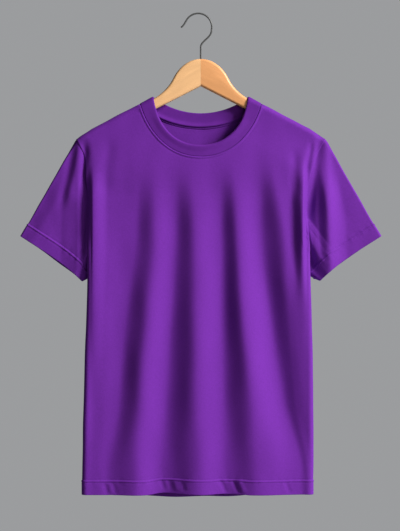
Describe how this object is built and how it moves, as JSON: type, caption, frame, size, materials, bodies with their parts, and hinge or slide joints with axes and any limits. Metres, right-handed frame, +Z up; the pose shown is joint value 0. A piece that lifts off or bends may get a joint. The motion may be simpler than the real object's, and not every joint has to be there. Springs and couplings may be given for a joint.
{
  "type": "t-shirt on a clothes hanger",
  "caption": "Short-sleeved crew-neck t-shirt of jersey, hanging nearly flat and softly folded on a plain wooden hanger with a wire hook.",
  "frame": {"origin": "inside of the hook's crown, where a rail carries the hanger", "axes": "+Z up, -Y out of the shirt's front, +X to the wearer's left"},
  "size_m": [0.656, 0.072, 0.8811],
  "materials": {
    "jersey": "fine single jersey knit, matt, soft sheen",
    "rib_knit": "1x1 rib knit, matt",
    "neck_tape": "folded jersey tape, matt",
    "hanger_wood_left": "clear satin varnish",
    "hanger_wood_right": "clear satin varnish",
    "dark_steel": "dark nickel, smooth"
  },
  "bodies": {
    "root": {"front": "jersey", "back": "jersey", "sleeve_left": "jersey", "sleeve_right": "jersey", "neck_rib": "rib_knit", "neck_tape": "neck_tape", "hanger_left": "hanger_wood_left", "hanger_right": "hanger_wood_right", "hanger_hook": "dark_steel"}
  },
  "joints": []
}
